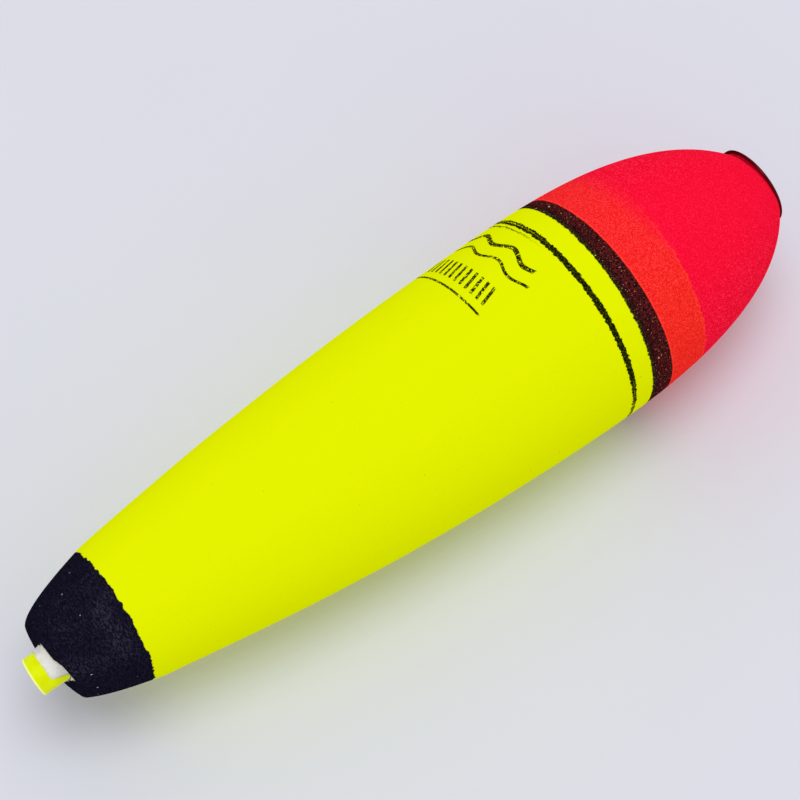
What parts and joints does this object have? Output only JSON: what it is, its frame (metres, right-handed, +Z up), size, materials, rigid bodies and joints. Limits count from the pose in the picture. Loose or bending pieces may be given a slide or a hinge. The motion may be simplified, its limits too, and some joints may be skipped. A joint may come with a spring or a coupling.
{
  "type": "in-line fishing float",
  "caption": "Cigar-shaped foam fishing float, bored end to end, with a bonded line tube at the tail and a flanged metal eyelet at the nose.",
  "frame": {"origin": "on the bench under the middle of the float's length, which is the centre of the bottom of its box", "axes": "+X along the float's axis towards the nose eyelet, +Z up with the float lying on its side, +Y across"},
  "size_m": [0.0888, 0.0232, 0.0231],
  "materials": {
    "painted_foam": "matte",
    "yellow_plastic": "satin",
    "white_glue": "satin",
    "polished_steel": "polished"
  },
  "bodies": {
    "root": {"foam_body": "painted_foam", "line_tube": "yellow_plastic", "tail_glue_collar": "white_glue", "nose_eyelet": "polished_steel"}
  },
  "joints": []
}
